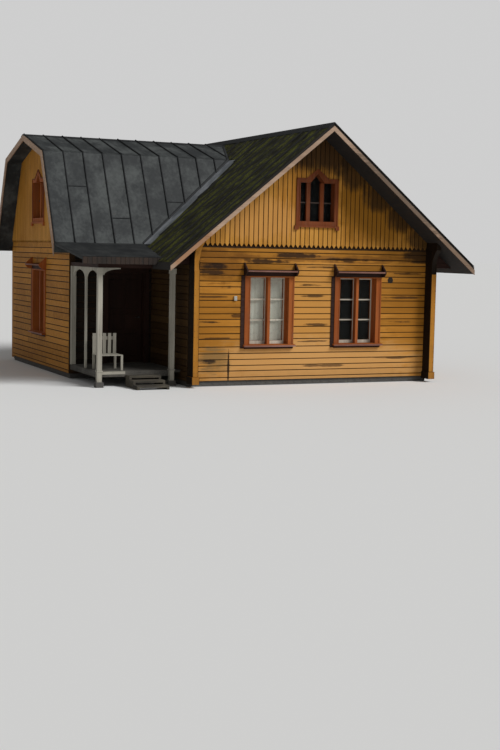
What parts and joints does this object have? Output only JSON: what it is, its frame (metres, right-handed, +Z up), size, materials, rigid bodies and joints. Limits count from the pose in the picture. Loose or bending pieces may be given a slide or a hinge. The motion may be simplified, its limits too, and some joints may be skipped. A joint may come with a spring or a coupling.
{
  "type": "log cabin",
  "caption": "Boarded log cabin: gabled front room, side room under a steep tin roof, corner porch with a hinged entrance door.",
  "frame": {"origin": "on the ground, at the middle of the whole's length and depth", "axes": "+X to the right along the gabled front, +Y into the house, +Z up"},
  "size_m": [8.922, 8.662, 5.62],
  "materials": {
    "plinth_stone": "rough grey field stone and mortar",
    "floor_boards": "worn bare floor boards",
    "ochre_boards": "ochre paint on boards, faded and flaking",
    "bare_wood": "grey weathered wood",
    "red_brown_trim": "red-brown paint, worn at the edges",
    "dark_trim": "dark brown paint, worn at the edges",
    "window_glass": "old float glass, dark behind",
    "curtain_cloth": "thin pale curtain cloth",
    "mossy_roof": "ribbed roofing sheet under green moss",
    "tin_sheet": "blue-grey seamed sheet, dull",
    "bargeboard_paint": "pink-beige paint worn to the grain",
    "porch_paint": "chalky white-grey paint",
    "door_paint": "red-brown painted panels",
    "handle_iron": "black iron",
    "vent_metal": "brown painted grille",
    "box_metal": "pale grey painted box"
  },
  "bodies": {
    "house": {"foundation": "plinth_stone", "floor_front_room": "floor_boards", "floor_back_room": "floor_boards", "front_wall": "ochre_boards", "right_wall": "ochre_boards", "wing_left_wall": "ochre_boards", "back_wall": "ochre_boards", "end_wall": "ochre_boards", "room_beam": "bare_wood", "entrance_wall_left": "ochre_boards", "entrance_wall_right": "ochre_boards", "entrance_wall_over": "ochre_boards", "entrance_sill": "bare_wood", "front_gable": "ochre_boards", "back_gable": "ochre_boards", "end_gable": "ochre_boards", "corner_box_front_left": "ochre_boards", "corner_box_front_right": "ochre_boards", "corner_boxes_back": "ochre_boards", "window_front_left": "red_brown_trim", "window_front_right": "red_brown_trim", "window_hoods_front": "dark_trim", "windows_right": "red_brown_trim", "windows_back": "red_brown_trim", "windows_end": "red_brown_trim", "attic_window_front": "red_brown_trim", "window_glass": "window_glass", "window_curtains": "curtain_cloth", "gabled_roof_left": "mossy_roof", "gabled_roof_right": "mossy_roof", "tin_roof_front": "tin_sheet", "tin_roof_back": "tin_sheet", "tin_roof_top": "tin_sheet", "valley_flashings": "tin_sheet", "ridge_caps": "tin_sheet", "bargeboards_front": "bargeboard_paint", "bargeboards_back": "bargeboard_paint", "bargeboards_end": "bargeboard_paint", "boxed_eaves": "dark_trim", "porch_floor": "porch_paint", "porch_post_left": "porch_paint", "porch_post_right": "porch_paint", "porch_beam": "dark_trim", "porch_side_arches": "porch_paint", "porch_roof": "tin_sheet", "porch_steps": "bare_wood", "porch_chair": "porch_paint", "door_frame": "red_brown_trim", "wall_vent": "vent_metal", "wall_box": "box_metal"},
    "door": {"entrance_door": "door_paint", "door_handles": "handle_iron"}
  },
  "joints": [
    {"name": "door_hinge", "type": "hinge", "parent": "house", "child": "door", "pos_m": [-3.159, -1.113, 1.3], "axis": [0, 0, 1], "range_deg": [0, 95]}
  ]
}
